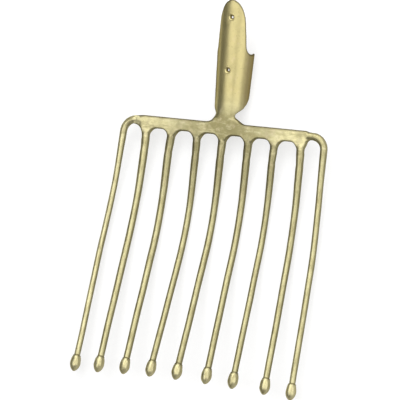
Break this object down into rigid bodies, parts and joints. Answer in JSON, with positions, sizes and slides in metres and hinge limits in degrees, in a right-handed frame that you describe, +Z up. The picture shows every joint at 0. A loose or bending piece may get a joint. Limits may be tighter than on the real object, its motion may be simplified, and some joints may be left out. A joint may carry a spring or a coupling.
{
  "type": "potato fork head",
  "caption": "Head of a potato fork: round curved tines with ball ends on an arched crossbar, and an open rolled socket with a nailing tongue for a wooden handle.",
  "frame": {"origin": "centre of the bounding box's bottom, on the floor that the fork lies on with the hollow of its tines upward", "axes": "+X across the tines, +Y from the ball ends toward the socket, +Z up, out of the hollow side"},
  "size_m": [0.3154, 0.4979, 0.0631],
  "materials": {
    "gold_lacquer": "transparent gold lacquer over forged steel, satin to glossy"
  },
  "bodies": {
    "root": {"crossbar": "gold_lacquer", "socket": "gold_lacquer", "tine_1": "gold_lacquer", "tine_2": "gold_lacquer", "tine_3": "gold_lacquer", "tine_4": "gold_lacquer", "tine_5": "gold_lacquer", "tine_6": "gold_lacquer", "tine_7": "gold_lacquer", "tine_8": "gold_lacquer", "tine_9": "gold_lacquer", "tip_1": "gold_lacquer", "tip_2": "gold_lacquer", "tip_3": "gold_lacquer", "tip_4": "gold_lacquer", "tip_5": "gold_lacquer", "tip_6": "gold_lacquer", "tip_7": "gold_lacquer", "tip_8": "gold_lacquer", "tip_9": "gold_lacquer"}
  },
  "joints": []
}
